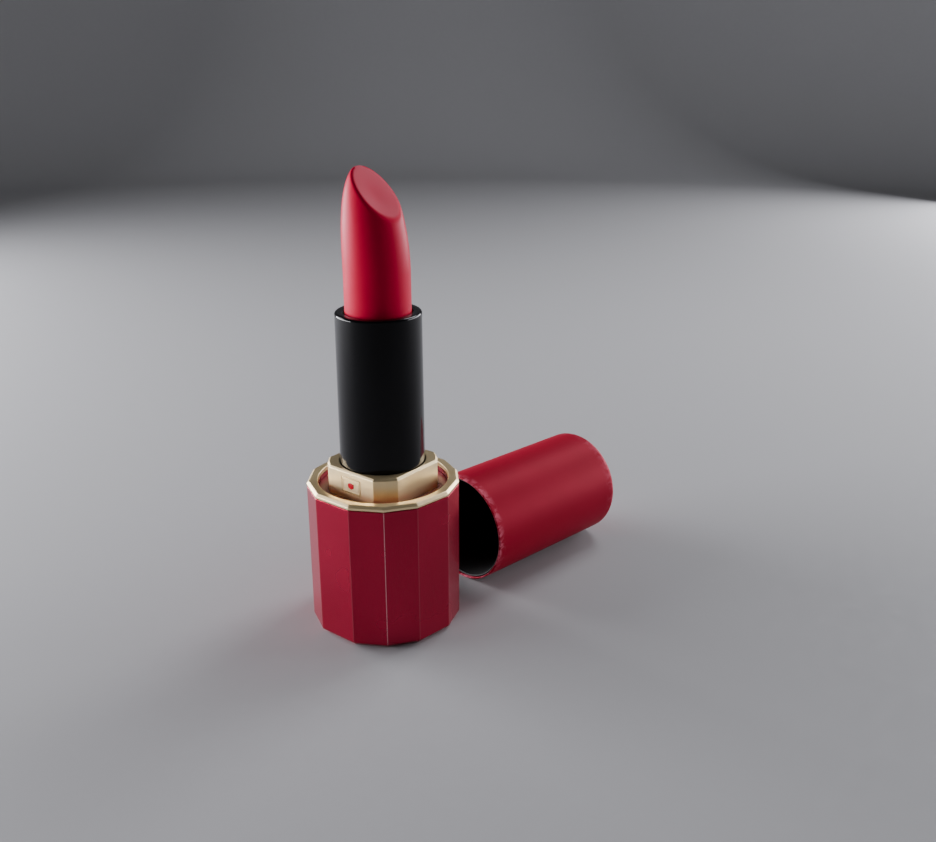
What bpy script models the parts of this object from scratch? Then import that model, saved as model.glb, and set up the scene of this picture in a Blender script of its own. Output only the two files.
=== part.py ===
"""A swivel lipstick case standing open, with its cap lying behind it.

The case stands on the XY plane with its axis on Z and its emblem facing -Y. Turning the black
sleeve drives the bullet up and down: two lugs on the bullet's cup run in upright slots of a
fixed inner tube and in two helical grooves of a cam that turns with the sleeve. Blender works
in metres, so MM turns the millimetre sizes below into Blender units.
"""

import math

import bmesh
import bpy
from mathutils import Matrix, Vector

MM = 0.001

# How finely round pieces are cut.
ROUND_STEPS = 48
CAM_STEPS = 36
LUG_STEPS = 16

# Clearances, in millimetres.
SLIP = 0.1          # between round pieces that turn or slide in each other
SEAT = 0.3          # under a piece that rests on another
INLAY_GAP = 0.05    # round and behind a thin inlay

# Radial sizes, from the bullet outwards.
BULLET_RADIUS = 6.05
CUP_WALL = 0.3
TUBE_WALL = 0.3
CAM_WALL = 0.5
GROOVE_DEPTH = 0.3
SLEEVE_TOP_WALL = 0.34
SLEEVE_FOOT_WALL = 0.53
COLLAR_WALL = 0.56  # at its thinnest, behind the middle of a wide face
LINER_WALL = 1.8    # round the collar's corners
BASE_WALL = 1.5     # at its thinnest, behind the middle of the widest panel
FOOT_RING = 2.2     # the shell's underside round the disc

# Base: a many-sided lacquered cup, its panels listed from the front round one side.
FRONT_PANEL = 33.0
SIDE_PANELS = (26.0, 25.0, 30.0, 24.0, 21.0, 21.0)
BASE_HEIGHT = 28.9
BASE_FOOT_CHAMFER = 0.8
DISC_THICKNESS = 1.0
FLOOR_THICKNESS = 1.3
TRIM_HEIGHT = 0.9
TRIM_BEVEL = 0.45
PLATE_THICKNESS = 0.7
PLATE_DROP = 1.8    # how far the top plate lies below the trim's top

# Collar: four wide faces with double-chamfered corners.
COLLAR_WIDE_FACE = 65.0
COLLAR_RISE = 5.4   # above the top plate
COLLAR_DEPTH = 3.1  # below the top plate
COLLAR_BEVEL = 0.35

# Emblem: a plain plate with a round enamel dot, let into the collar's front.
EMBLEM_WIDTH = 4.6
EMBLEM_HEIGHT = 2.8
EMBLEM_DEPTH = 0.3
EMBLEM_PROUD = 0.06
DOT_RADIUS = 0.7
DOT_DEPTH = 0.18

# Heights inside the base, from the collar down.
BRAKE_LAND = 1.5      # liner between the collar's seat and the brake ring's groove
BRAKE_RADIUS = 0.4    # of the brake ring's own section
BEAD_LAND = 1.2       # liner between the brake groove and the bead groove
BEAD_HEIGHT = 1.0
BEAD_RISE = 0.35
TUBE_FOOT_HEIGHT = 8.0
TUBE_FOOT_WALL = 0.7
LINER_FLOOR = 1.5

# Lift: the bullet goes down until its tip is this far below the sleeve's mouth.
TIP_DEPTH = 2.5
HELIX_PITCH = 16.0
LUG_RADIUS = 1.0
LUG_ABOVE_CUP_FOOT = 1.6
CUP_HEIGHT = 9.8
CUP_FLOOR = 0.8
CAM_END_RING = 2.8    # whole wall left below the grooves
GROOVE_PLAY = 0.25
GROOVE_RUN_ON = 12.0  # degrees past each end of the lugs' travel
SLOT_PLAY = 0.2
SLEEVE_LIP = 0.8
SLEEVE_EDGE = 0.25

# Bullet: straight up to a shoulder, then a blunt ogive whose crown leans back to -X, all cut
# by one slanted plane that falls towards +X. Heights are counted from the sleeve's mouth.
SHOULDER_RISE = 6.8
CROWN_RISE = 25.5
CROWN_OFFSET = 1.85
BULLET_TAPER = 0.07   # lost from the radius between cup and shoulder
OGIVE_FULLNESS = 2.36  # 2 is an ellipse, more is blunter
OGIVE_STEPS = 12
CUT_RISE = 21.2       # where the plane meets the bullet's axis
CUT_SLOPE = 45.5      # degrees from level

# Cap: a round shell over a black liner, lying on its side behind the case.
CAP_FIT = 0.15        # between the liner and the collar's corners
CAP_LINER_WALL = 0.3
CAP_SHELL_WALL = 0.35
CAP_HEADROOM = 1.4    # over the sleeve when the cap is on
CAP_END_WALL = 1.1
CAP_EDGE = 1.6
CAP_LINER_SET_BACK = 0.35
CAP_GAP = 5.5         # between the base's corners and the middle of the cap's mouth
CAP_SIDE_STEP = 3.15
CAP_HEADING = 81.7    # degrees from +X, seen from above

# Radii that follow, from the middle out.
CUP_INNER = BULLET_RADIUS + SLIP / 2
CUP_OUTER = CUP_INNER + CUP_WALL
TUBE_INNER = CUP_OUTER + SLIP
TUBE_OUTER = TUBE_INNER + TUBE_WALL
CAM_INNER = TUBE_OUTER + SLIP
CAM_OUTER = CAM_INNER + CAM_WALL
SLEEVE_INNER = CAM_OUTER + SLIP
SLEEVE_TOP_RADIUS = SLEEVE_INNER + SLEEVE_TOP_WALL
SLEEVE_FOOT_RADIUS = SLEEVE_INNER + SLEEVE_FOOT_WALL
SLEEVE_BORE = SLEEVE_FOOT_RADIUS + SLIP
COLLAR_FRONT = SLEEVE_BORE + COLLAR_WALL
COLLAR_RADIUS = COLLAR_FRONT / math.cos(math.radians(COLLAR_WIDE_FACE / 2))
BASE_BORE = COLLAR_RADIUS + SLIP + LINER_WALL + SLIP
BACK_PANEL = 360.0 - FRONT_PANEL - 2 * sum(SIDE_PANELS)
WIDEST_PANEL = max(FRONT_PANEL, BACK_PANEL, *SIDE_PANELS)
BASE_RADIUS = (BASE_BORE + BASE_WALL) / math.cos(math.radians(WIDEST_PANEL / 2))
DISC_RADIUS = BASE_BORE + BASE_WALL - BASE_FOOT_CHAMFER - FOOT_RING
CAP_RADIUS = COLLAR_RADIUS + CAP_FIT + CAP_LINER_WALL + SLIP + CAP_SHELL_WALL

# Heights that follow: the base's top first, then down to its floor.
TRIM_BOTTOM = BASE_HEIGHT - TRIM_HEIGHT
SHELL_TOP = TRIM_BOTTOM - SLIP
PLATE_TOP = BASE_HEIGHT - PLATE_DROP
PLATE_BOTTOM = PLATE_TOP - PLATE_THICKNESS
LINER_TOP = PLATE_BOTTOM - SLIP
COLLAR_TOP = PLATE_TOP + COLLAR_RISE
COLLAR_BOTTOM = PLATE_TOP - COLLAR_DEPTH
COLLAR_SEAT = COLLAR_BOTTOM - SEAT
BRAKE_HALF = BRAKE_RADIUS + SLIP
BRAKE_MIDDLE = COLLAR_SEAT - BRAKE_LAND - BRAKE_HALF
BEAD_GROOVE_TOP = BRAKE_MIDDLE - BRAKE_HALF - BEAD_LAND
SLEEVE_FOOT = BEAD_GROOVE_TOP - SEAT - BEAD_HEIGHT
BEAD_GROOVE_BOTTOM = SLEEVE_FOOT - SEAT
TUBE_FOOT_TOP = BEAD_GROOVE_BOTTOM - SEAT
TUBE_FOOT = TUBE_FOOT_TOP - TUBE_FOOT_HEIGHT
LINER_FLOOR_TOP = TUBE_FOOT - SEAT
LINER_BOTTOM = LINER_FLOOR_TOP - LINER_FLOOR
WEIGHT_TOP = LINER_BOTTOM - SEAT
BASE_FLOOR = DISC_THICKNESS + SLIP + FLOOR_THICKNESS
WEIGHT_BOTTOM = BASE_FLOOR + SEAT

# Heights that follow: the lift, from the cam's foot up.
BULLET_TRAVEL = CROWN_RISE + TIP_DEPTH
TWIST = 360.0 * BULLET_TRAVEL / HELIX_PITCH
GROOVE_HALF = LUG_RADIUS + GROOVE_PLAY
CAM_BOTTOM = SLEEVE_FOOT + SEAT
LOWEST_LUG = CAM_BOTTOM + CAM_END_RING + GROOVE_HALF + HELIX_PITCH * GROOVE_RUN_ON / 360.0
LUG_HEIGHT = LOWEST_LUG + BULLET_TRAVEL
LUG_REACH = CAM_INNER + GROOVE_DEPTH - SLIP
CUP_BOTTOM = LUG_HEIGHT - LUG_ABOVE_CUP_FOOT
CUP_TOP = CUP_BOTTOM + CUP_HEIGHT
TUBE_TOP = CUP_TOP + SLIP
CAM_TOP = TUBE_TOP
LIP_UNDERSIDE = CAM_TOP + SEAT
SLEEVE_TOP = LIP_UNDERSIDE + SLEEVE_LIP
BULLET_BOTTOM = CUP_BOTTOM + CUP_FLOOR + SEAT
BULLET_SHOULDER = SLEEVE_TOP + SHOULDER_RISE
BULLET_CROWN = SLEEVE_TOP + CROWN_RISE
CUT_HEIGHT = SLEEVE_TOP + CUT_RISE
CAP_LENGTH = SLEEVE_TOP - PLATE_TOP + CAP_HEADROOM + CAP_LINER_WALL + SEAT + CAP_END_WALL


def clear_scene():
    for scene_object in list(bpy.data.objects):
        bpy.data.objects.remove(scene_object, do_unlink=True)


def material(name, color, roughness, metallic=0.0, coat=0.0):
    made = bpy.data.materials.new(name)
    made.use_nodes = True
    shader = made.node_tree.nodes["Principled BSDF"]
    shader.inputs["Base Color"].default_value = (*color, 1.0)
    shader.inputs["Roughness"].default_value = roughness
    shader.inputs["Metallic"].default_value = metallic
    shader.inputs["Coat Weight"].default_value = coat
    made.diffuse_color = (*color, 1.0)
    return made


def add_object(name, shape, look=None, parent=None, smooth_below=35.0):
    """Turns a bmesh into an object; look is its material, and a cutter has none."""
    bmesh.ops.recalc_face_normals(shape, faces=shape.faces)
    mesh = bpy.data.meshes.new(name)
    shape.to_mesh(mesh)
    shape.free()
    mesh.shade_smooth()
    mesh.set_sharp_from_angle(angle=math.radians(smooth_below))
    made = bpy.data.objects.new(name, mesh)
    bpy.context.scene.collection.objects.link(made)
    made.parent = parent
    if look is None:
        made.hide_render = True
        made.display_type = "WIRE"
    else:
        mesh.materials.append(look)
    return made


def add_empty(name, location=(0.0, 0.0, 0.0), rotation=(0.0, 0.0, 0.0)):
    made = bpy.data.objects.new(name, None)
    made.empty_display_size = 5 * MM
    made.location = location
    made.rotation_euler = rotation
    bpy.context.scene.collection.objects.link(made)
    return made


def boolean(target, tool, operation="DIFFERENCE"):
    modifier = target.modifiers.new(operation.title(), "BOOLEAN")
    modifier.operation = operation
    modifier.object = tool
    modifier.solver = "EXACT"


def turned(profile, steps=ROUND_STEPS):
    """A closed outline of (radius, height) points in millimetres, spun once round Z."""
    shape = bmesh.new()
    points = [shape.verts.new((radius * MM, 0.0, height * MM)) for radius, height in profile]
    edges = [
        shape.edges.new((point, points[(place + 1) % len(points)]))
        for place, point in enumerate(points)
    ]
    bmesh.ops.spin(
        shape,
        geom=points + edges,
        cent=(0.0, 0.0, 0.0),
        axis=(0.0, 0.0, 1.0),
        angle=math.tau,
        steps=steps,
        use_merge=True,
    )
    bmesh.ops.remove_doubles(shape, verts=shape.verts, dist=1e-7)
    bmesh.ops.dissolve_degenerate(shape, edges=shape.edges, dist=1e-7)
    return shape


def washer(inner, outer, bottom, top):
    return [(inner, bottom), (outer, bottom), (outer, top), (inner, top)]


def outline(radius, corner_angles):
    """Corners in plan; an angle is counted from -Y towards +X."""
    return [
        (radius * math.sin(math.radians(angle)), -radius * math.cos(math.radians(angle)))
        for angle in corner_angles
    ]


def offset_outline(corners, distance):
    """Moves every side of a convex outline outwards by distance, or inwards if negative."""
    moved = []
    for place, corner in enumerate(corners):
        before = Vector(corner) - Vector(corners[place - 1])
        after = Vector(corners[(place + 1) % len(corners)]) - Vector(corner)
        out_before = Vector((before.y, -before.x)).normalized()
        out_after = Vector((after.y, -after.x)).normalized()
        middle = (out_before + out_after).normalized()
        step = middle * (distance / middle.dot(out_after))
        moved.append((corner[0] + step.x, corner[1] + step.y))
    return moved


def lofted(levels):
    """A solid through outlines of equally many corners; levels are (outline, height)."""
    shape = bmesh.new()
    rings = [
        [shape.verts.new((x * MM, y * MM, height * MM)) for x, y in corners]
        for corners, height in levels
    ]
    for lower, upper in zip(rings, rings[1:]):
        for place in range(len(lower)):
            following = (place + 1) % len(lower)
            shape.faces.new((lower[place], lower[following], upper[following], upper[place]))
    shape.faces.new(list(reversed(rings[0])))
    shape.faces.new(rings[-1])
    return shape


def block(centre, size):
    shape = bmesh.new()
    scaled = Matrix.Diagonal((*(side * MM for side in size), 1.0))
    placed = Matrix.Translation(Vector(centre) * MM)
    bmesh.ops.create_cube(shape, size=1.0, matrix=placed @ scaled)
    return shape


def rod(start, end, radius, steps=LUG_STEPS):
    """A solid cylinder between two points in millimetres."""
    shape = bmesh.new()
    along = Vector(end) - Vector(start)
    turn = along.to_track_quat("Z", "Y").to_matrix().to_4x4()
    middle = Matrix.Translation((Vector(start) + Vector(end)) / 2 * MM)
    bmesh.ops.create_cone(
        shape,
        cap_ends=True,
        segments=steps,
        radius1=radius * MM,
        radius2=radius * MM,
        depth=along.length * MM,
        matrix=middle @ turn,
    )
    return shape


def base_outline():
    angles = [-FRONT_PANEL / 2, FRONT_PANEL / 2]
    for width in SIDE_PANELS:
        angles.append(angles[-1] + width)
    mirrored = [360.0 - angle for angle in reversed(angles[2:])]
    return outline(BASE_RADIUS, angles + mirrored)


def collar_outline():
    corner = (90.0 - COLLAR_WIDE_FACE) / 2
    angles = [
        side + turn
        for side in (45.0, 135.0, 225.0, 315.0)
        for turn in (-corner, 0.0, corner)
    ]
    return outline(COLLAR_RADIUS, angles)


def make_base_shell(look):
    corners = base_outline()
    foot = offset_outline(corners, -BASE_FOOT_CHAMFER)
    shell = add_object(
        "base_shell",
        lofted([(foot, 0.0), (corners, BASE_FOOT_CHAMFER), (corners, SHELL_TOP)]),
        look,
        smooth_below=5.0,
    )
    bore = add_object("bore_cutter", turned([
        (0.0, BASE_FLOOR), (BASE_BORE, BASE_FLOOR),
        (BASE_BORE, SHELL_TOP + 1.0), (0.0, SHELL_TOP + 1.0),
    ]))
    recess_top = DISC_THICKNESS + SLIP
    recess = add_object("recess_cutter", turned([
        (0.0, -1.0), (DISC_RADIUS + SLIP, -1.0),
        (DISC_RADIUS + SLIP, recess_top), (0.0, recess_top),
    ]))
    boolean(shell, bore)
    boolean(shell, recess)


def make_bottom_disc(look):
    profile = [(0.0, 0.0), (DISC_RADIUS, 0.0), (DISC_RADIUS, DISC_THICKNESS)]
    add_object("bottom_disc", turned([*profile, (0.0, DISC_THICKNESS)]), look)


def make_base_weight(look):
    rim = BASE_BORE - SLIP
    bevel = 0.5
    add_object("base_weight", turned([
        (0.0, WEIGHT_BOTTOM), (rim, WEIGHT_BOTTOM), (rim, WEIGHT_TOP - bevel),
        (rim - bevel, WEIGHT_TOP), (0.0, WEIGHT_TOP),
    ]), look)


def make_base_liner(look):
    """The plastic body that grips the inner tube's foot, the sleeve's bead and the collar."""
    outer = BASE_BORE - SLIP
    foot_bore = TUBE_INNER + TUBE_FOOT_WALL + SLIP
    bead_bore = SLEEVE_FOOT_RADIUS + BEAD_RISE + SLIP
    brake_bore = SLEEVE_BORE + 2 * BRAKE_RADIUS + SLIP
    collar_bore = COLLAR_RADIUS + SLIP
    add_object("base_liner", turned([
        (0.0, LINER_BOTTOM), (outer, LINER_BOTTOM), (outer, LINER_TOP),
        (collar_bore, LINER_TOP), (collar_bore, COLLAR_SEAT), (SLEEVE_BORE, COLLAR_SEAT),
        (SLEEVE_BORE, BRAKE_MIDDLE + BRAKE_HALF), (brake_bore, BRAKE_MIDDLE + BRAKE_HALF),
        (brake_bore, BRAKE_MIDDLE - BRAKE_HALF), (SLEEVE_BORE, BRAKE_MIDDLE - BRAKE_HALF),
        (SLEEVE_BORE, BEAD_GROOVE_TOP), (bead_bore, BEAD_GROOVE_TOP),
        (bead_bore, BEAD_GROOVE_BOTTOM), (foot_bore, BEAD_GROOVE_BOTTOM),
        (foot_bore, LINER_FLOOR_TOP), (0.0, LINER_FLOOR_TOP),
    ]), look)


def make_friction_ring(look):
    """The soft ring that brakes the sleeve, so that the bullet stays where it is put."""
    middle = SLEEVE_BORE + BRAKE_RADIUS
    sides = 12
    profile = [
        (middle + BRAKE_RADIUS * math.cos(math.tau * side / sides),
         BRAKE_MIDDLE + BRAKE_RADIUS * math.sin(math.tau * side / sides))
        for side in range(sides)
    ]
    add_object("friction_ring", turned(profile), look)


def make_rim_trim(look):
    """The bright ring on the cup's edge: its outer side follows the panels, its bore is round."""
    corners = base_outline()
    bevelled = offset_outline(corners, -TRIM_BEVEL)
    trim = add_object("rim_trim", lofted([
        (corners, TRIM_BOTTOM), (corners, BASE_HEIGHT - TRIM_BEVEL), (bevelled, BASE_HEIGHT),
    ]), look, smooth_below=5.0)
    cutter = add_object("trim_cutter", turned([
        (0.0, TRIM_BOTTOM - 1.0), (BASE_BORE, TRIM_BOTTOM - 1.0),
        (BASE_BORE, BASE_HEIGHT + 1.0), (0.0, BASE_HEIGHT + 1.0),
    ]))
    boolean(trim, cutter)


def make_top_plate(look):
    """The lacquered top face between trim and collar."""
    rim = BASE_BORE - SLIP
    plate = add_object("top_plate", turned([
        (0.0, PLATE_BOTTOM), (rim, PLATE_BOTTOM), (rim, PLATE_TOP), (0.0, PLATE_TOP),
    ]), look)
    hole = offset_outline(collar_outline(), SLIP)
    cutter = add_object("plate_cutter", lofted([(hole, PLATE_BOTTOM - 1.0), (hole, PLATE_TOP + 1.0)]))
    boolean(plate, cutter)


def emblem_height():
    return PLATE_TOP + COLLAR_RISE / 2


def make_collar(look):
    corners = collar_outline()
    bevelled = offset_outline(corners, -COLLAR_BEVEL)
    collar = add_object("collar", lofted([
        (corners, COLLAR_BOTTOM), (corners, COLLAR_TOP - COLLAR_BEVEL), (bevelled, COLLAR_TOP),
    ]), look, smooth_below=5.0)
    bore = add_object("collar_cutter", turned([
        (0.0, COLLAR_BOTTOM - 1.0), (SLEEVE_BORE, COLLAR_BOTTOM - 1.0),
        (SLEEVE_BORE, COLLAR_TOP + 1.0), (0.0, COLLAR_TOP + 1.0),
    ]))
    recess_size = (EMBLEM_WIDTH + 2 * INLAY_GAP, 2 * EMBLEM_DEPTH, EMBLEM_HEIGHT + 2 * INLAY_GAP)
    recess = add_object(
        "emblem_cutter", block((0.0, -COLLAR_FRONT, emblem_height()), recess_size)
    )
    boolean(collar, bore)
    boolean(collar, recess)


def make_emblem(plate_look, dot_look):
    back = -COLLAR_FRONT + EMBLEM_DEPTH - INLAY_GAP
    front = -COLLAR_FRONT - EMBLEM_PROUD
    height = emblem_height()
    plate = add_object(
        "emblem_plate",
        block((0.0, (back + front) / 2, height), (EMBLEM_WIDTH, back - front, EMBLEM_HEIGHT)),
        plate_look,
    )
    hole_back = front + DOT_DEPTH
    hole = add_object(
        "dot_cutter",
        rod((0.0, front - 1.0, height), (0.0, hole_back, height), DOT_RADIUS + INLAY_GAP),
    )
    boolean(plate, hole)
    dot_back = hole_back - INLAY_GAP
    add_object(
        "emblem_dot", rod((0.0, front - INLAY_GAP, height), (0.0, dot_back, height), DOT_RADIUS), dot_look
    )


def make_inner_tube(look):
    """The fixed tube whose two upright slots keep the cup's lugs from turning."""
    foot_outer = TUBE_INNER + TUBE_FOOT_WALL
    tube = add_object("inner_tube", turned([
        (TUBE_INNER, TUBE_FOOT), (foot_outer, TUBE_FOOT), (foot_outer, TUBE_FOOT_TOP),
        (TUBE_OUTER, TUBE_FOOT_TOP), (TUBE_OUTER, TUBE_TOP), (TUBE_INNER, TUBE_TOP),
    ]), look)
    reach = LUG_RADIUS + SLOT_PLAY
    top = LUG_HEIGHT + reach
    bottom = LOWEST_LUG - reach
    slot = block(
        (0.0, 0.0, (top + bottom) / 2), (4 * CAM_OUTER, 2 * reach, top - bottom)
    )
    boolean(tube, add_object("slot_cutter", slot))


def helix_ridge(start_angle):
    """A rectangular ridge on the helix that one lug follows, to be cut out of the cam."""
    inner = CAM_INNER - 2 * SLIP
    outer = CAM_INNER + GROOVE_DEPTH
    corners = washer(inner, outer, -GROOVE_HALF, GROOVE_HALF)
    step_angle = 360.0 / CAM_STEPS
    first = -math.ceil((TWIST + GROOVE_RUN_ON) / step_angle) - 0.5
    count = math.ceil((TWIST + 2 * GROOVE_RUN_ON) / step_angle) + 1
    shape = bmesh.new()
    sections = []
    for step in range(count + 1):
        turn = (first + step) * step_angle
        angle = math.radians(start_angle + turn)
        height = LUG_HEIGHT + HELIX_PITCH * turn / 360.0
        sections.append([
            shape.verts.new((
                radius * MM * math.cos(angle),
                radius * MM * math.sin(angle),
                (height + side) * MM,
            ))
            for radius, side in corners
        ])
    for before, after in zip(sections, sections[1:]):
        for corner in range(4):
            following = (corner + 1) % 4
            shape.faces.new((before[corner], before[following], after[following], after[corner]))
    shape.faces.new(sections[0])
    shape.faces.new(list(reversed(sections[-1])))
    return shape


def make_spiral_cam(look, twist):
    cam = add_object(
        "spiral_cam",
        turned(washer(CAM_INNER, CAM_OUTER, CAM_BOTTOM, CAM_TOP), CAM_STEPS),
        look,
        twist,
    )
    for number, start_angle in enumerate((0.0, 180.0), 1):
        boolean(cam, add_object(f"groove_cutter_{number}", helix_ridge(start_angle)))


def make_sleeve_shell(look, twist):
    """The black tube that is turned by hand; its lip hides the cam, its bead holds it down."""
    def wall(height):
        share = (height - SLEEVE_FOOT) / (SLEEVE_TOP - SLEEVE_FOOT)
        return SLEEVE_FOOT_RADIUS + share * (SLEEVE_TOP_RADIUS - SLEEVE_FOOT_RADIUS)

    lip_radius = BULLET_RADIUS + 2 * SLIP
    bead_top = SLEEVE_FOOT + BEAD_HEIGHT
    bead_outer = SLEEVE_FOOT_RADIUS + BEAD_RISE
    rounding = [
        (wall(SLEEVE_TOP) - SLEEVE_EDGE + SLEEVE_EDGE * math.cos(math.radians(turn)),
         SLEEVE_TOP - SLEEVE_EDGE + SLEEVE_EDGE * math.sin(math.radians(turn)))
        for turn in (0.0, 30.0, 60.0, 90.0)
    ]
    add_object("sleeve_shell", turned([
        (SLEEVE_INNER, SLEEVE_FOOT), (bead_outer - BEAD_RISE / 2, SLEEVE_FOOT),
        (bead_outer, SLEEVE_FOOT + BEAD_RISE), (bead_outer, bead_top),
        (wall(bead_top), bead_top), *rounding,
        (lip_radius + SLEEVE_EDGE, SLEEVE_TOP), (lip_radius, SLEEVE_TOP - SLEEVE_EDGE),
        (lip_radius, LIP_UNDERSIDE), (SLEEVE_INNER, LIP_UNDERSIDE),
    ]), look, twist)


def make_bullet_cup(look, rise):
    cup = add_object("bullet_cup", turned([
        (0.0, CUP_BOTTOM), (CUP_OUTER, CUP_BOTTOM), (CUP_OUTER, CUP_TOP), (CUP_INNER, CUP_TOP),
        (CUP_INNER, CUP_BOTTOM + CUP_FLOOR), (0.0, CUP_BOTTOM + CUP_FLOOR),
    ]), look, rise)
    for number, side in enumerate((1.0, -1.0), 1):
        root = (side * (CUP_OUTER - CUP_WALL / 2), 0.0, LUG_HEIGHT)
        tip = (side * LUG_REACH, 0.0, LUG_HEIGHT)
        lug = add_object(f"lug_{number}", rod(root, tip, LUG_RADIUS), parent=rise)
        boolean(cup, lug, "UNION")


def bullet_section(height):
    """The bullet's round section: how far it is shifted to +X, and its radius."""
    share = max(0.0, (height - BULLET_SHOULDER) / (BULLET_CROWN - BULLET_SHOULDER))
    straight = min(1.0, (height - BULLET_BOTTOM) / (BULLET_SHOULDER - BULLET_BOTTOM))
    radius = BULLET_RADIUS - BULLET_TAPER * straight
    shrink = (1.0 - share ** OGIVE_FULLNESS) ** (1.0 / OGIVE_FULLNESS)
    return -CROWN_OFFSET * share ** 1.5, radius * shrink


def bullet_ring(height):
    shift, radius = bullet_section(height)
    return [
        (shift + radius * math.cos(math.tau * step / ROUND_STEPS),
         radius * math.sin(math.tau * step / ROUND_STEPS))
        for step in range(ROUND_STEPS)
    ]


def make_bullet(look, rise):
    heights = [BULLET_BOTTOM] + [
        BULLET_SHOULDER
        + (BULLET_CROWN - BULLET_SHOULDER) * math.sin(math.pi / 2 * step / OGIVE_STEPS)
        for step in range(OGIVE_STEPS)
    ]
    levels = [(bullet_ring(height), height) for height in heights]
    stick = add_object("bullet", lofted(levels), look, rise)
    size = 8 * BULLET_RADIUS
    cut = block((0.0, 0.0, size / 2), (size, size, size))
    lean = Matrix.Rotation(math.radians(CUT_SLOPE), 4, "Y")
    to_axis = Matrix.Translation(Vector((0.0, 0.0, CUT_HEIGHT)) * MM)
    bmesh.ops.transform(cut, matrix=to_axis @ lean, verts=cut.verts)
    boolean(stick, add_object("tip_cutter", cut, parent=rise))


def make_cap(shell_look, liner_look):
    """Both cap pieces are turned about their own Z, mouth at 0, and laid down by an empty."""
    place = Vector((CAP_SIDE_STEP, BASE_RADIUS + CAP_GAP, CAP_RADIUS)) * MM
    pull = add_empty("cap_axis", place, (0.0, math.pi / 2, math.radians(CAP_HEADING)))
    inner = CAP_RADIUS - CAP_SHELL_WALL
    end = CAP_LENGTH - CAP_END_WALL
    inner_edge = CAP_EDGE - CAP_SHELL_WALL
    turns = [math.radians(turn) for turn in (0.0, 22.5, 45.0, 67.5, 90.0)]
    outer_arc = [
        (CAP_RADIUS - CAP_EDGE + CAP_EDGE * math.cos(turn),
         CAP_LENGTH - CAP_EDGE + CAP_EDGE * math.sin(turn))
        for turn in turns
    ]
    inner_arc = [
        (inner - inner_edge + inner_edge * math.cos(turn),
         end - inner_edge + inner_edge * math.sin(turn))
        for turn in turns
    ]
    add_object("cap_shell", turned([
        (inner, 0.0), (CAP_RADIUS, 0.0), *outer_arc, (0.0, CAP_LENGTH),
        (0.0, end), *reversed(inner_arc),
    ]), shell_look, pull)
    liner_outer = inner - SLIP
    liner_inner = liner_outer - CAP_LINER_WALL
    liner_end = end - SEAT
    chamfer = inner_edge
    add_object("cap_liner", turned([
        (liner_inner, CAP_LINER_SET_BACK), (liner_outer, CAP_LINER_SET_BACK),
        (liner_outer, liner_end - chamfer), (liner_outer - chamfer, liner_end),
        (0.0, liner_end), (0.0, liner_end - CAP_LINER_WALL),
        (liner_outer - chamfer - CAP_LINER_WALL / 2, liner_end - CAP_LINER_WALL),
        (liner_inner, liner_end - chamfer - CAP_LINER_WALL / 2),
    ]), liner_look, pull)


def main():
    clear_scene()
    red_lacquer = material("red_lacquer", (0.30, 0.006, 0.03), 0.12, coat=1.0)
    cap_red = material("cap_red", (0.36, 0.012, 0.035), 0.38)
    gold = material("pale_gold", (0.83, 0.70, 0.50), 0.12, metallic=1.0)
    black = material("gloss_black", (0.004, 0.004, 0.006), 0.12, coat=1.0)
    liner_black = material("liner_black", (0.01, 0.009, 0.01), 0.5)
    wax = material("lip_colour", (0.45, 0.004, 0.02), 0.35)
    steel = material("steel", (0.45, 0.45, 0.46), 0.35, metallic=1.0)
    natural = material("natural_plastic", (0.70, 0.68, 0.62), 0.45)
    brake_rubber = material("silicone", (0.12, 0.12, 0.13), 0.6)
    enamel = material("enamel_red", (0.50, 0.01, 0.03), 0.2)

    twist = add_empty("twist_axis")
    rise = add_empty("rise_axis")
    make_base_shell(red_lacquer)
    make_bottom_disc(liner_black)
    make_base_weight(steel)
    make_base_liner(natural)
    make_friction_ring(brake_rubber)
    make_rim_trim(gold)
    make_top_plate(red_lacquer)
    make_collar(gold)
    make_emblem(gold, enamel)
    make_inner_tube(natural)
    make_spiral_cam(natural, twist)
    make_sleeve_shell(black, twist)
    make_bullet_cup(gold, rise)
    make_bullet(wax, rise)
    make_cap(cap_red, liner_black)
    bpy.context.view_layer.update()


if __name__ == "__main__":
    main()
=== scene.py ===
"""Finish for a swivel lipstick case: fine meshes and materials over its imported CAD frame."""

import math

import bmesh
import bpy
import numpy as np
from bpy.props import FloatProperty, FloatVectorProperty, IntProperty, PointerProperty
from mathutils import Euler, Matrix, Vector


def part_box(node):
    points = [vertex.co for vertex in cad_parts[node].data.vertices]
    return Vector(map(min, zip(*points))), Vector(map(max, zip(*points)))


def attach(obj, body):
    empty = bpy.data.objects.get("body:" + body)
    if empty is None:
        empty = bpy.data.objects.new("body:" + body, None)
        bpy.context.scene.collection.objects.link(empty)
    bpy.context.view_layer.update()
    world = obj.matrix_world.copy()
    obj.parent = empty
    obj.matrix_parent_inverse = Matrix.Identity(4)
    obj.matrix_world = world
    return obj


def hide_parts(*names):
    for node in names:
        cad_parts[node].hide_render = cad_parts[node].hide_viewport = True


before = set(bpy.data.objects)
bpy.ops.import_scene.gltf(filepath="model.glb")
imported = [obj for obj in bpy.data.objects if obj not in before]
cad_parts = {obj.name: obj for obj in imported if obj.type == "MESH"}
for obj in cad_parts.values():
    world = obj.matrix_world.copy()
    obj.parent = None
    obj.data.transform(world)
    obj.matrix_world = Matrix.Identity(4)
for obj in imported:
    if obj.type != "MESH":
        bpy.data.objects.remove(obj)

bl_info = {
    "name": "Swivel Lipstick Case",
    "version": (1, 0, 0),
    "blender": (4, 5, 0),
    "location": "View3D > Sidebar > Lipstick",
    "description": "Builds the fine pieces, the materials and the stage of a swivel lipstick case",
    "category": "Object",
}

MM = 0.001

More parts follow.
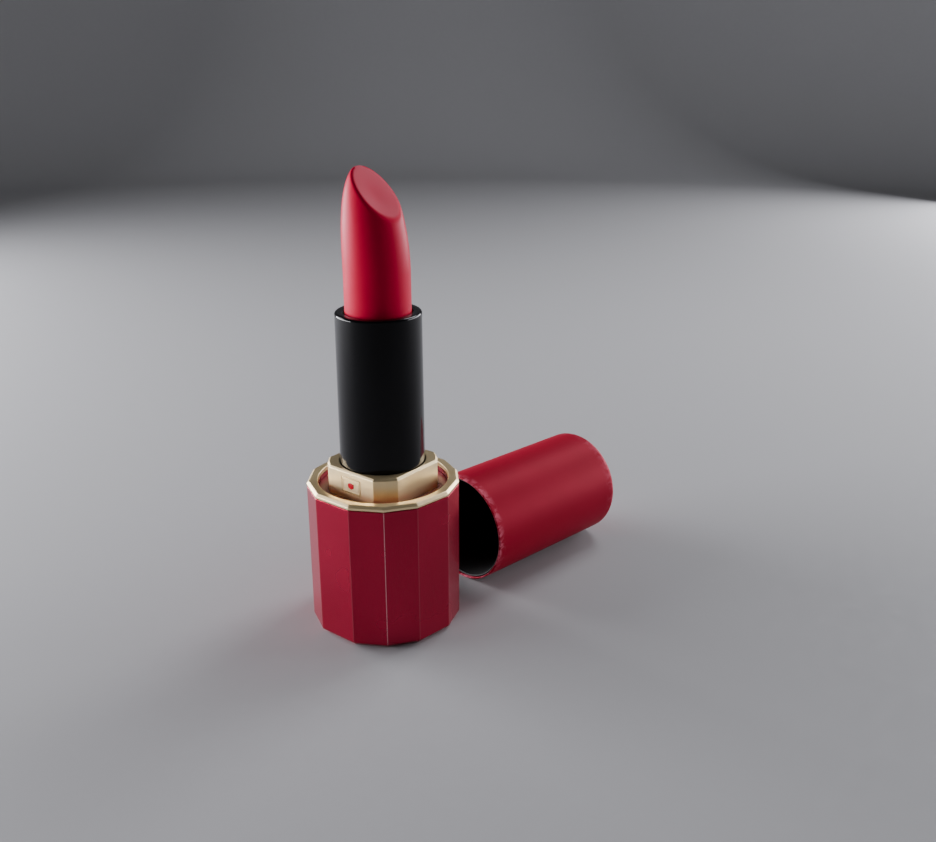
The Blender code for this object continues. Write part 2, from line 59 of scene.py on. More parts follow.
# Plan of the base, counted from the front (-Y) towards +X: half of its panels, in degrees.
FRONT_PANEL = 33.0
SIDE_PANELS = (26.0, 25.0, 30.0, 24.0, 21.0, 21.0)
COLLAR_WIDE_FACE = 65.0
# The upright edge of the base that carries a painted highlight down its length, counted from the
# front panel's left edge.
HIGHLIGHT_EDGE = 2
# How many strips a flat face is divided into.
FACE_PARTS = 10

# Sizes in millimetres that the frame's boxes don't give.
BASE_RADIUS = 14.397
BASE_BORE = 12.304
BASE_FLOOR = 2.4
BASE_FOOT_CHAMFER = 0.8
DISC_RECESS_RADIUS = 10.9
DISC_RECESS_HEIGHT = 1.1
TRIM_BEVEL = 0.45
COLLAR_RADIUS = 10.304
COLLAR_BORE = 8.13
COLLAR_BEVEL = 0.35
EMBLEM_DEPTH = 0.3
EMBLEM_GAP = 0.1
EMBLEM_DOT_RADIUS = 0.7
SLEEVE_BORE = 7.5
SLEEVE_TOP_RADIUS = 7.84
SLEEVE_FOOT_RADIUS = 8.03
SLEEVE_LIP_RADIUS = 6.25
SLEEVE_LIP_HEIGHT = 0.8
SLEEVE_BEAD_HEIGHT = 1.0
SLEEVE_BEAD_RISE = 0.35
BULLET_RADIUS = 6.05
BULLET_TAPER = 0.07
BULLET_SHOULDER = 67.783
BULLET_CROWN = 86.7
BULLET_CROWN_OFFSET = 1.85
BULLET_FULLNESS = 2.36
BULLET_CUT_HEIGHT = 82.36
BULLET_CUT_SLOPE = 45.5
# The shallow hollow on the slanted face: its middle below and beside the face's own, then its
# half length and half width.
HOLLOW_BELOW = 2.0
HOLLOW_ASIDE = -1.2
HOLLOW_LENGTH = 3.2
HOLLOW_WIDTH = 2.6
CAP_RADIUS = 11.204
CAP_LENGTH = 36.983
CAP_WALL = 0.35
CAP_END_WALL = 1.1
CAP_LINER_GAP = 0.1
CAP_LINER_WALL = 0.3
CAP_LINER_SET_BACK = 0.35
CAP_LINER_SEAT = 0.3
CAP_MOUTH = (3.15, 19.897, 11.204)
CAP_HEADING = 81.7

# Every light points at this height on the case's axis.
LIGHT_AIM = (0.0, 0.0, 38.0)

# Where the viewer stands: heading and tilt of the view, then its place in millimetres.
VIEW_HEADING = 38.0
VIEW_TILT = 20.3
VIEW_ACROSS = 16.03
VIEW_BACK = 176.86
VIEW_HEIGHT = 105.39
SENSOR_WIDTH = 36.0
LENS = 39.077

FINISHES = {}


def linear(code):
    """An sRGB hex code as linear red, green and blue, with an alpha of one."""
    parts = [int(code[place:place + 2], 16) / 255.0 for place in (0, 2, 4)]
    return (*[
        part / 12.92 if part <= 0.04045 else ((part + 0.055) / 1.055) ** 2.4
        for part in parts
    ], 1.0)


def sizes():
    return bpy.context.scene.lipstick_sizes


def colours():
    return bpy.context.scene.lipstick_colours


def cad_top(node):
    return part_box(node)[1].z / MM


def cad_bottom(node):
    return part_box(node)[0].z / MM


# Shapes

def outline(radius, corner_angles):
    """Corners in plan; an angle is counted from -Y towards +X."""
    return [
        (radius * math.sin(math.radians(angle)), -radius * math.cos(math.radians(angle)))
        for angle in corner_angles
    ]


def base_corners():
    angles = [-FRONT_PANEL / 2, FRONT_PANEL / 2]
    for width in SIDE_PANELS:
        angles.append(angles[-1] + width)
    return outline(BASE_RADIUS, angles + [360.0 - angle for angle in reversed(angles[2:])])


def collar_corners():
    corner = (90.0 - COLLAR_WIDE_FACE) / 2
    return outline(COLLAR_RADIUS, [
        side + turn for side in (45.0, 135.0, 225.0, 315.0) for turn in (-corner, 0.0, corner)
    ])


def offset_outline(corners, distance):
    """Moves every side of a convex outline outwards by distance, or inwards if negative."""
    moved = []
    for place, corner in enumerate(corners):
        before = Vector(corner) - Vector(corners[place - 1])
        after = Vector(corners[(place + 1) % len(corners)]) - Vector(corner)
        out_before = Vector((before.y, -before.x)).normalized()
        out_after = Vector((after.y, -after.x)).normalized()
        middle = (out_before + out_after).normalized()
        step = middle * (distance / middle.dot(out_after))
        moved.append((corner[0] + step.x, corner[1] + step.y))
    return moved


def softened(profile, steps=5):
    """Rounds the corners of a closed outline; its points are (across, up, radius)."""
    points = []
    for place, (across, up, radius) in enumerate(profile):
        corner = Vector((across, up))
        before = Vector(profile[place - 1][:2]) - corner
        after = Vector(profile[(place + 1) % len(profile)][:2]) - corner
        half = before.angle(after) / 2
        if radius <= 0.0 or half > math.radians(89.0):
            points.append((across, up))
            continue
        reach = min(radius / math.tan(half), 0.45 * before.length, 0.45 * after.length)
        rounding = reach * math.tan(half)
        inwards = (before.normalized() + after.normalized()).normalized()
        centre = corner + inwards * (rounding / math.sin(half))
        start = corner + before.normalized() * reach - centre
        end = corner + after.normalized() * reach - centre
        sweep = start.angle(end)
        for step in range(steps + 1):
            share = step / steps
            spoke = start * math.sin((1 - share) * sweep) + end * math.sin(share * sweep)
            points.append(tuple(centre + spoke / math.sin(sweep)))
    return points


def prism_ring(corners, distance, rounding, height):
    """One level of a many-sided piece: its upright edges are rounded, and its faces are
    divided, so that a round bore can have points in line with them."""
    ring = softened([(x, y, rounding) for x, y in offset_outline(corners, distance)])
    per_corner = len(ring) // len(corners)
    points = []
    for place, (x, y) in enumerate(ring):
        points.append((x, y, height))
        if place % per_corner == per_corner - 1:
            next_x, next_y = ring[(place + 1) % len(ring)]
            for part in range(1, FACE_PARTS):
                share = part / FACE_PARTS
                points.append((x + share * (next_x - x), y + share * (next_y - y), height))
    return points


def round_ring(pattern, radius, height):
    """A circle whose points stand in line with those of another ring."""
    turns = [math.atan2(y, x) for x, y, _ in pattern]
    return [(radius * math.cos(turn), radius * math.sin(turn), height) for turn in turns]


def lofted(rings, through=False):
    """A closed shape over rings of equally many points; through joins the last to the first."""
    shape = bmesh.new()
    levels = [[shape.verts.new(Vector(point) * MM) for point in ring] for ring in rings]
    pairs = list(zip(levels, levels[1:]))
    if through:
        pairs.append((levels[-1], levels[0]))
    for lower, upper in pairs:
        for place in range(len(lower)):
            following = (place + 1) % len(lower)
            shape.faces.new((lower[place], lower[following], upper[following], upper[place]))
    if not through:
        shape.faces.new(list(reversed(levels[0])))
        shape.faces.new(levels[-1])
    return shape


def turning_tree():
    """Geometry Nodes that sweep a flat outline once round the Z axis."""
    found = bpy.data.node_groups.get("turned_wall")
    if found:
        return found
    tree = bpy.data.node_groups.new("turned_wall", "GeometryNodeTree")
    face = tree.interface
    face.new_socket("Outline", in_out="INPUT", socket_type="NodeSocketGeometry")
    face.new_socket("Axis Distance", in_out="INPUT", socket_type="NodeSocketFloat")
    face.new_socket("Steps", in_out="INPUT", socket_type="NodeSocketInt")
    face.new_socket("Merge Distance", in_out="INPUT", socket_type="NodeSocketFloat")
    face.new_socket("Finish", in_out="INPUT", socket_type="NodeSocketMaterial")
    face.new_socket("Wall", in_out="OUTPUT", socket_type="NodeSocketGeometry")
    given = add_node(tree, "NodeGroupInput").outputs
    section = add_node(tree, "GeometryNodeMeshToCurve", {"Mesh": given["Outline"]})
    circle = add_node(tree, "GeometryNodeCurvePrimitiveCircle", {
        "Resolution": given["Steps"], "Radius": given["Axis Distance"],
    })
    swept = add_node(tree, "GeometryNodeCurveToMesh", {
        "Curve": circle.outputs["Curve"], "Profile Curve": section.outputs["Curve"],
    })
    merged = add_node(tree, "GeometryNodeMergeByDistance", {
        "Geometry": swept.outputs["Mesh"], "Distance": given["Merge Distance"],
    })
    real = add_node(tree, "GeometryNodeRealizeInstances", {
        "Geometry": merged.outputs["Geometry"],
    })
    coated = add_node(tree, "GeometryNodeSetMaterial", {
        "Geometry": real.outputs["Geometry"], "Material": given["Finish"],
    })
    add_node(tree, "NodeGroupOutput", {"Wall": coated.outputs["Geometry"]})
    return tree


def evaluated_mesh(carrier, name):
    """The mesh that an object's modifiers give, with the object itself removed."""
    bpy.context.view_layer.update()
    graph = bpy.context.evaluated_depsgraph_get()
    mesh = bpy.data.meshes.new_from_object(carrier.evaluated_get(graph), depsgraph=graph)
    mesh.name = name
    bpy.data.objects.remove(carrier, do_unlink=True)
    return mesh


def add_carrier(mesh):
    carrier = bpy.data.objects.new("carrier", mesh)
    bpy.context.scene.collection.objects.link(carrier)
    return carrier


def turned(points, finish, axis_distance=2.0):
    """A turned wall from (radius, height) points in millimetres. The outline is swept round a
    circle of axis_distance, so it is drawn from that circle, not from the axis."""
    section = bpy.data.meshes.new("section")
    section.from_pydata(
        [((radius - axis_distance) * MM, -height * MM, 0.0) for radius, height in points],
        [(place, (place + 1) % len(points)) for place in range(len(points))],
        [],
    )
    carrier = add_carrier(section)
    tree = turning_tree()
    modifier = carrier.modifiers.new("Turned Wall", "NODES")
    modifier.node_group = tree
    wanted = {
        "Axis Distance": axis_distance * MM,
        "Steps": sizes().round_steps,
        "Merge Distance": 0.0005 * MM,
        "Finish": finish,
    }
    for socket in tree.interface.items_tree:
        if socket.name in wanted and socket.in_out == "INPUT":
            modifier[socket.identifier] = wanted[socket.name]
    mesh = evaluated_mesh(carrier, "turned")
    shape = bmesh.new()
    shape.from_mesh(mesh)
    bmesh.ops.dissolve_degenerate(shape, edges=shape.edges, dist=0.0005 * MM)
    bpy.data.meshes.remove(mesh)
    return shape


def add_piece(name, shape, finish, body, stands_for, smooth_below=40.0, place=None):
    """Turns a bmesh into a finished piece that rides on its body."""
    if place is not None:
        bmesh.ops.transform(shape, matrix=place, verts=shape.verts)
    bmesh.ops.recalc_face_normals(shape, faces=shape.faces)
    mesh = bpy.data.meshes.new(name)
    shape.to_mesh(mesh)
    shape.free()
    mesh.shade_smooth()
    mesh.set_sharp_from_angle(angle=math.radians(smooth_below))
    mesh.materials.clear()
    mesh.materials.append(finish)
    carrier = add_carrier(mesh)
    weighted = carrier.modifiers.new("Even Shading", "WEIGHTED_NORMAL")
    weighted.keep_sharp = True
    piece = bpy.data.objects.new(name, evaluated_mesh(carrier, name))
    bpy.context.scene.collection.objects.link(piece)
    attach(piece, body)
    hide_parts(*stands_for)
    return piece


def cut_block(shape, centre, size):
    """Takes a box out of a closed shape."""
    body_mesh = bpy.data.meshes.new("body")
    bmesh.ops.recalc_face_normals(shape, faces=shape.faces)
    shape.to_mesh(body_mesh)
    tool = bmesh.new()
    placed = Matrix.Translation(Vector(centre) * MM)
    scaled = Matrix.Diagonal((*(side * MM for side in size), 1.0))
    bmesh.ops.create_cube(tool, size=1.0, matrix=placed @ scaled)
    tool_mesh = bpy.data.meshes.new("tool")
    tool.to_mesh(tool_mesh)
    tool.free()
    carrier, cutter = add_carrier(body_mesh), add_carrier(tool_mesh)
    modifier = carrier.modifiers.new("Recess", "BOOLEAN")
    modifier.operation = "DIFFERENCE"
    modifier.solver = "EXACT"
    modifier.object = cutter
    mesh = evaluated_mesh(carrier, "cut")
    bpy.data.objects.remove(cutter, do_unlink=True)
    shape.clear()
    shape.from_mesh(mesh)
    bmesh.ops.remove_doubles(shape, verts=shape.verts, dist=0.0002 * MM)


# Materials

def add_node(tree, kind, inputs=None, **settings):
    """Adds a node; an input is either a value or another node's output."""
    node = tree.nodes.new(kind)
    for name, value in settings.items():
        setattr(node, name, value)
    for socket, value in (inputs or {}).items():
        if isinstance(value, bpy.types.NodeSocket):
            tree.links.new(value, node.inputs[socket])
        else:
            node.inputs[socket].default_value = value
    return node


def new_finish(name):
    made = bpy.data.materials.new(name)
    made.use_nodes = True
    made.node_tree.nodes.clear()
    FINISHES[name] = made
    return made.node_tree


def shade(tree, **values):
    """Ends a material in one Principled shader."""
    inputs = {name.replace("_", " ").title().replace("Ior", "IOR"): value
              for name, value in values.items()}
    shader = add_node(tree, "ShaderNodeBsdfPrincipled", inputs)
    add_node(tree, "ShaderNodeOutputMaterial", {"Surface": shader.outputs["BSDF"]})


def make_base_lacquer():
    # Clear red lacquer sprayed over metallised ABS: the red tints what the bright coat
    # underneath reflects, and the top coat adds a second, colourless gloss.
    tree = new_finish("red_lacquer_on_metallised_abs")
    place = add_node(tree, "ShaderNodeTexCoord").outputs["Object"]
    # Orange peel of a sprayed coat, about 1.2 mm from crest to crest.
    peel = add_node(tree, "ShaderNodeTexNoise", {
        "Vector": place, "Scale": 800.0, "Detail": 1.0, "Roughness": 0.4,
    })
    # Thicker and thinner areas of the tinted coat, about 9 mm across.
    depth = add_node(tree, "ShaderNodeTexNoise", {
        "Vector": place, "Scale": 110.0, "Detail": 2.0, "Roughness": 0.5,
    })
    tint = add_node(tree, "ShaderNodeMix", {
        "Factor": depth.outputs["Fac"],
        6: (*colours().lacquer_deep, 1.0), 7: (*colours().lacquer, 1.0),
    }, data_type="RGBA")
    # Pale pink mixed onto the upright edges: a little on every edge, where the coat thins and
    # wears, and much more on one edge as a painted highlight.
    edge_mark = add_node(tree, "ShaderNodeAttribute", attribute_name="edge_wear_and_highlight")
    edge_share = add_node(tree, "ShaderNodeMath", {
        0: edge_mark.outputs["Fac"], 1: 0.75,
    }, operation="MULTIPLY")
    tinted = add_node(tree, "ShaderNodeMix", {
        "Factor": edge_share.outputs["Value"],
        6: tint.outputs[2], 7: (*colours().lacquer_edge_and_highlight, 1.0),
    }, data_type="RGBA")
    # Faint handling haze, which only changes the gloss.
    haze = add_node(tree, "ShaderNodeMapRange", {
        "Value": depth.outputs["Fac"], "From Min": 0.35, "From Max": 0.7,
        "To Min": 0.25, "To Max": 0.28,
    })
    relief = add_node(tree, "ShaderNodeBump", {
        "Height": peel.outputs["Fac"], "Strength": 0.01, "Distance": 0.02 * MM,
    })
    shade(tree, base_color=tinted.outputs[2], metallic=0.78, roughness=haze.outputs["Result"],
          ior=1.5, coat_weight=0.15, coat_roughness=0.08, normal=relief.outputs["Normal"])


def make_cap_lacquer():
    # Satin red lacquer on an aluminium shell: a soft, wide sheen, rubbed pinker round the
    # mouth and at the closed end, where the cap is gripped and stood down.
    tree = new_finish("satin_red_lacquer_on_aluminium")
    place = add_node(tree, "ShaderNodeTexCoord").outputs["Object"]
    heading = math.radians(CAP_HEADING)
    axis = Vector((math.cos(heading), math.sin(heading), 0.0))
    from_mouth = add_node(tree, "ShaderNodeVectorMath", {
        0: place, 1: axis,
    }, operation="DOT_PRODUCT")
    start = axis.dot(Vector(CAP_MOUTH)) * MM
    near_mouth = add_node(tree, "ShaderNodeMapRange", {
        "Value": from_mouth.outputs["Value"], "From Min": start, "From Max": start + 1.8 * MM,
        "To Min": 1.0, "To Max": 0.0,
    })
    end = start + CAP_LENGTH * MM
    near_end = add_node(tree, "ShaderNodeMapRange", {
        "Value": from_mouth.outputs["Value"], "From Min": end - 3.4 * MM, "From Max": end,
        "To Min": 0.0, "To Max": 0.5,
    })
    # At the closed end only the rounded rim is rubbed, not the flat face inside it.
    off_axis = add_node(tree, "ShaderNodeVectorMath", {
        0: add_node(tree, "ShaderNodeVectorMath", {
            0: place, 1: Vector(CAP_MOUTH) * MM,
        }, operation="SUBTRACT").outputs["Vector"],
        1: axis,
    }, operation="CROSS_PRODUCT")
    radius = add_node(tree, "ShaderNodeVectorMath", {
        0: off_axis.outputs["Vector"],
    }, operation="LENGTH")
    near_rim = add_node(tree, "ShaderNodeMapRange", {
        "Value": radius.outputs["Value"],
        "From Min": (CAP_RADIUS - 2.6) * MM, "From Max": (CAP_RADIUS - 0.4) * MM,
    })
    end_rim = add_node(tree, "ShaderNodeMath", {
        0: near_end.outputs["Result"], 1: near_rim.outputs["Result"],
    }, operation="MULTIPLY")
    # Rub marks, a millimetre or two long.
    marks = add_node(tree, "ShaderNodeTexNoise", {
        "Vector": place, "Scale": 620.0, "Detail": 5.0, "Roughness": 0.65, "Distortion": 0.8,
    })
    worn = add_node(tree, "ShaderNodeMapRange", {
        "Value": marks.outputs["Fac"], "From Min": 0.44, "From Max": 0.6,
    })
    edges = add_node(tree, "ShaderNodeMath", {
        0: near_mouth.outputs["Result"], 1: end_rim.outputs["Value"],
    }, operation="ADD")
    wear = add_node(tree, "ShaderNodeMath", {
        0: edges.outputs["Value"], 1: worn.outputs["Result"],
    }, operation="MULTIPLY")
    # The coat's own slight unevenness, about 8 mm across.
    cloud = add_node(tree, "ShaderNodeTexNoise", {
        "Vector": place, "Scale": 130.0, "Detail": 2.0,
    })
    coat = add_node(tree, "ShaderNodeMix", {
        "Factor": cloud.outputs["Fac"],
        6: (*colours().cap_deep, 1.0), 7: (*colours().cap, 1.0),
    }, data_type="RGBA")
    colour = add_node(tree, "ShaderNodeMix", {
        "Factor": wear.outputs["Value"],
        6: coat.outputs[2], 7: (*colours().cap_worn, 1.0),
    }, data_type="RGBA")
    gloss = add_node(tree, "ShaderNodeMapRange", {
        "Value": marks.outputs["Fac"], "From Min": 0.3, "From Max": 0.75,
        "To Min": 0.46, "To Max": 0.52,
    })
    relief = add_node(tree, "ShaderNodeBump", {
        "Height": marks.outputs["Fac"], "Strength": 0.08, "Distance": 0.02 * MM,
    })
    shade(tree, base_color=colour.outputs[2], metallic=0.1, roughness=gloss.outputs["Result"],
          ior=1.5, specular_ior_level=0.08, specular_tint=(1.0, 0.35, 0.45, 1.0),
          normal=relief.outputs["Normal"])


def make_pale_gold():
    # Pale gold plated over a satin-finished metal ring: softly bright, with the faint
    # cloudiness that wiping leaves.
    tree = new_finish("satin_pale_gold_plating")
    place = add_node(tree, "ShaderNodeTexCoord").outputs["Object"]
    # Wiping haze, a few millimetres across.
    haze = add_node(tree, "ShaderNodeTexNoise", {
        "Vector": place, "Scale": 260.0, "Detail": 3.0,
    })
    gloss = add_node(tree, "ShaderNodeMapRange", {
        "Value": haze.outputs["Fac"], "From Min": 0.3, "From Max": 0.7,
        "To Min": 0.36, "To Max": 0.39,
    })
    tone = add_node(tree, "ShaderNodeMix", {
        "Factor": haze.outputs["Fac"], 6: linear("ffe0a6"), 7: linear("ffebbe"),
    }, data_type="RGBA")
    # Finishing lines round the axis, 0.15 mm apart in the real one, drawn at 0.2 mm to show.
    lines = add_node(tree, "ShaderNodeTexNoise", {
        "Vector": add_node(tree, "ShaderNodeMapping", {
            "Vector": place, "Scale": (0.05, 0.05, 1.0),
        }).outputs["Vector"],
        "Scale": 5000.0, "Detail": 1.0,
    })
    relief = add_node(tree, "ShaderNodeBump", {
        "Height": lines.outputs["Fac"], "Strength": 0.01, "Distance": 0.01 * MM,
    })
    shade(tree, base_color=tone.outputs[2], metallic=0.9, roughness=gloss.outputs["Result"],
          normal=relief.outputs["Normal"])


def make_gloss_black():
    # Injection-moulded black ABS from a polished mould: deep, clean gloss with a trace of
    # finger haze.
    tree = new_finish("gloss_moulded_black_abs")
    place = add_node(tree, "ShaderNodeTexCoord").outputs["Object"]
    # Finger haze, about 5 mm across.
    haze = add_node(tree, "ShaderNodeTexNoise", {
        "Vector": place, "Scale": 200.0, "Detail": 4.0, "Roughness": 0.6,
    })
    gloss = add_node(tree, "ShaderNodeMapRange", {
        "Value": haze.outputs["Fac"], "From Min": 0.35, "From Max": 0.75,
        "To Min": 0.11, "To Max": 0.13,
    })
    tone = add_node(tree, "ShaderNodeMix", {
        "Factor": haze.outputs["Fac"], 6: linear("040405"), 7: linear("0a0a0d"),
    }, data_type="RGBA")
    # Slight mould sink, a wave of about 6 mm.
    sink = add_node(tree, "ShaderNodeTexNoise", {"Vector": place, "Scale": 160.0, "Detail": 0.0})
    relief = add_node(tree, "ShaderNodeBump", {
        "Height": sink.outputs["Fac"], "Strength": 0.05, "Distance": 0.1 * MM,
    })
    shade(tree, base_color=tone.outputs[2], metallic=0.0, roughness=gloss.outputs["Result"],
          ior=1.53, specular_ior_level=0.2, normal=relief.outputs["Normal"])


def make_lip_wax():
    # Pigmented wax poured in a polished mould: a soft satin skin over a little depth, with
    # fine draw marks and pigment specks.
    tree = new_finish("moulded_lip_wax")
    place = add_node(tree, "ShaderNodeTexCoord").outputs["Object"]
    # Pigment clouds, about 4 mm across.
    cloud = add_node(tree, "ShaderNodeTexNoise", {
        "Vector": place, "Scale": 240.0, "Detail": 4.0, "Roughness": 0.55,
    })
    tone = add_node(tree, "ShaderNodeMix", {
        "Factor": cloud.outputs["Fac"],
        6: (*colours().wax_deep, 1.0), 7: (*colours().wax, 1.0),
    }, data_type="RGBA")
    # Draw marks along the bullet, about 0.4 mm apart.
    drawn = add_node(tree, "ShaderNodeTexNoise", {
        "Vector": add_node(tree, "ShaderNodeMapping", {
            "Vector": place, "Scale": (1.0, 1.0, 0.06),
        }).outputs["Vector"],
        "Scale": 2400.0, "Detail": 2.0,
    })
    gloss = add_node(tree, "ShaderNodeMapRange", {
        "Value": cloud.outputs["Fac"], "From Min": 0.3, "From Max": 0.7,
        "To Min": 0.36, "To Max": 0.4,
    })
    relief = add_node(tree, "ShaderNodeBump", {
        "Height": drawn.outputs["Fac"], "Strength": 0.06, "Distance": 0.02 * MM,
    })
    shade(tree, base_color=tone.outputs[2], metallic=0.0, roughness=gloss.outputs["Result"],
          ior=1.45, specular_ior_level=0.1, specular_tint=(1.0, 0.3, 0.42, 1.0),
          subsurface_weight=0.08, subsurface_radius=(1.0, 0.15, 0.1),
          subsurface_scale=0.5 * MM, normal=relief.outputs["Normal"])


def make_plain_finish(name, dark, light, metallic, roughness, grain, relief_depth, ior=1.5):
    """A moulded, cast or painted finish: two close tones and a fine relief of one grain."""
    tree = new_finish(name)
    place = add_node(tree, "ShaderNodeTexCoord").outputs["Object"]
    texture = add_node(tree, "ShaderNodeTexNoise", {
        "Vector": place, "Scale": 1.0 / (grain * MM), "Detail": 3.0,
    })
    tone = add_node(tree, "ShaderNodeMix", {
        "Factor": texture.outputs["Fac"], 6: linear(dark), 7: linear(light),
    }, data_type="RGBA")
    gloss = add_node(tree, "ShaderNodeMapRange", {
        "Value": texture.outputs["Fac"], "From Min": 0.3, "From Max": 0.7,
        "To Min": roughness * 0.9, "To Max": roughness * 1.1,
    })
    relief = add_node(tree, "ShaderNodeBump", {
        "Height": texture.outputs["Fac"], "Strength": 0.3, "Distance": relief_depth * MM,
    })
    shade(tree, base_color=tone.outputs[2], metallic=metallic,
          roughness=gloss.outputs["Result"], ior=ior, normal=relief.outputs["Normal"])


def make_finishes():
    make_base_lacquer()
    make_cap_lacquer()
    make_pale_gold()
    make_gloss_black()
    make_lip_wax()
    # Matt black polypropylene, moulded with a fine spark-eroded grain of 0.3 mm.
    make_plain_finish("spark_eroded_black_pp", "080607", "100d0e", 0.0, 0.6, 0.3, 0.02)
    # Red lacquer baked on a stamped steel plate: made darker than the base's lacquer as painted
    # shade for the plate's shaded place under the collar, and evenly glossy.
    make_plain_finish("baked_red_lacquer_on_steel_painted_shade", "5c0719", "660a1e", 0.2, 0.3, 1.2, 0.002)
    # Undyed acetal: waxy white, smooth from the mould.
    make_plain_finish("natural_moulded_acetal", "d9d6cb", "e4e1d6", 0.0, 0.42, 0.8, 0.01, 1.48)
    # Mild steel weight, turned and left bare: grey, with a dull cut surface.
    make_plain_finish("turned_mild_steel", "84868a", "9b9da1", 1.0, 0.45, 0.5, 0.02)
    # Silicone rubber brake ring: dull and slightly dusty.
    make_plain_finish("moulded_silicone_rubber", "3a3335", "4a4245", 0.0, 0.7, 0.4, 0.01, 1.41)
    # Hot-cured red enamel: glassy, flowed level.
    make_plain_finish("cured_red_enamel", "a80d22", "bd142c", 0.0, 0.1, 0.9, 0.002, 1.55)


# Pieces

class LipstickSizes(bpy.types.PropertyGroup):
    round_steps: IntProperty(
        name="Round Steps", description="How many facets a round piece has",
        default=144, min=24, max=256,
    )
    panel_edge: FloatProperty(
        name="Panel Edge", description="Rounding of the base's upright edges, in millimetres",
        default=0.45, min=0.05, max=1.0, precision=2,
    )
    gold_edge: FloatProperty(
        name="Gold Edge", description="Rounding of the gold pieces' edges, in millimetres",
        default=0.1, min=0.02, max=0.3, precision=2,
    )
    sleeve_edge: FloatProperty(
        name="Sleeve Edge", description="Rounding of the sleeve's mouth, in millimetres",
        default=0.45, min=0.05, max=0.7, precision=2,
    )
    bullet_edge: FloatProperty(
        name="Bullet Edge",
        description="How far the bullet's slanted face rounds over, in millimetres",
        default=0.45, min=0.05, max=3.0, precision=2,
    )
    bullet_dish: FloatProperty(
        name="Bullet Dish",
        description="Depth of the hollow low on the slanted face, in millimetres",
        default=0.12, min=0.0, max=0.6, precision=2,
    )
    cap_edge: FloatProperty(
        name="Cap Edge", description="Rounding of the cap's closed end, in millimetres",
        default=1.6, min=0.5, max=4.0, precision=2,
    )


class LipstickColours(bpy.types.PropertyGroup):
    lacquer: FloatVectorProperty(
        name="Lacquer", description="Thin areas of the base's tinted lacquer",
        subtype="COLOR", size=3, default=linear("b4103c")[:3], min=0.0, max=1.0,
    )
    lacquer_deep: FloatVectorProperty(
        name="Deep Lacquer", description="Thick areas of the base's tinted lacquer",
        subtype="COLOR", size=3, default=linear("a40c34")[:3], min=0.0, max=1.0,
    )
    # Pale pink of the worn edges, and of the painted highlight on one upright edge.
    lacquer_edge_and_highlight: FloatVectorProperty(
        name="Lacquer Edge", description="Where the lacquer thins out over an edge",
        subtype="COLOR", size=3, default=linear("eda3ac")[:3], min=0.0, max=1.0,
    )
    cap: FloatVectorProperty(
        name="Cap", description="The cap's satin lacquer",
        subtype="COLOR", size=3, default=linear("9c102e")[:3], min=0.0, max=1.0,
    )
    cap_deep: FloatVectorProperty(
        name="Deep Cap", description="Thick areas of the cap's lacquer",
        subtype="COLOR", size=3, default=linear("900d28")[:3], min=0.0, max=1.0,
    )
    cap_worn: FloatVectorProperty(
        name="Worn Cap", description="Rub marks at the cap's edges",
        subtype="COLOR", size=3, default=linear("d0667c")[:3], min=0.0, max=1.0,
    )
    wax: FloatVectorProperty(
        name="Wax", description="The bullet's pigment",
        subtype="COLOR", size=3, default=linear("c4083a")[:3], min=0.0, max=1.0,
    )
    wax_deep: FloatVectorProperty(
        name="Deep Wax", description="Denser pigment clouds in the bullet",
        subtype="COLOR", size=3, default=linear("b80634")[:3], min=0.0, max=1.0,
    )


class LIPSTICK_OT_finishes(bpy.types.Operator):
    """Make every material of the case"""

    bl_idname = "lipstick.finishes"
    bl_label = "Make Finishes"

    def execute(self, context):
        make_finishes()
        return {"FINISHED"}


class LIPSTICK_OT_base_cup(bpy.types.Operator):
    """Make the panelled lacquer cup that the case stands on"""

    bl_idname = "lipstick.base_cup"
    bl_label = "Make Base Cup"

    def execute(self, context):
        corners = base_corners()
        rounding = sizes().panel_edge
        top = cad_top("base_shell")
        side = softened([
            (0.0, top + 1.0, 0.0), (-1.0, top, 0.0), (0.0, top, 0.08),
            (0.0, BASE_FOOT_CHAMFER, 0.5), (-BASE_FOOT_CHAMFER, 0.0, 0.2), (-1.8, 0.0, 0.0),
        ])[2:-1]
        rings = [prism_ring(corners, across, rounding, height) for across, height in side]
        for radius, height in (
            (DISC_RECESS_RADIUS, 0.0), (DISC_RECESS_RADIUS, DISC_RECESS_HEIGHT),
            (0.5, DISC_RECESS_HEIGHT),
        ):
            rings.append(round_ring(rings[0], radius, height))
        for radius, height in ((BASE_BORE, top), (BASE_BORE, BASE_FLOOR), (0.5, BASE_FLOOR)):
            rings.insert(0, round_ring(rings[-1], radius, height))
        cup = add_piece(
            "lacquer_cup", lofted(rings), FINISHES["red_lacquer_on_metallised_abs"],
            "base", ["base_shell"], smooth_below=30.0,
        )
        # Only the inner points of each rounded edge are marked, so the panels stay clean, and
        # so do the bore's rings below the first side ring and the recess's above the last.
        edge_marks = cup.data.attributes.new("edge_wear_and_highlight", "FLOAT", "POINT")
        per_ring, per_edge = len(rings[0]), len(rings[0]) // len(corners)
        first, last = 3 * per_ring, (len(rings) - 3) * per_ring
        # The highlight edge gets the full mark as a painted highlight; every other edge gets a
        # little, as edge wear.
        highlight_share, wear_share = 1.0, 0.16
        for number in range(len(cup.data.vertices)):
            place = number % per_ring % per_edge
            if first <= number < last and 0 < place < per_edge - FACE_PARTS:
                highlighted = number % per_ring // per_edge == HIGHLIGHT_EDGE
                edge_marks.data[number].value = highlight_share if highlighted else wear_share
        return {"FINISHED"}


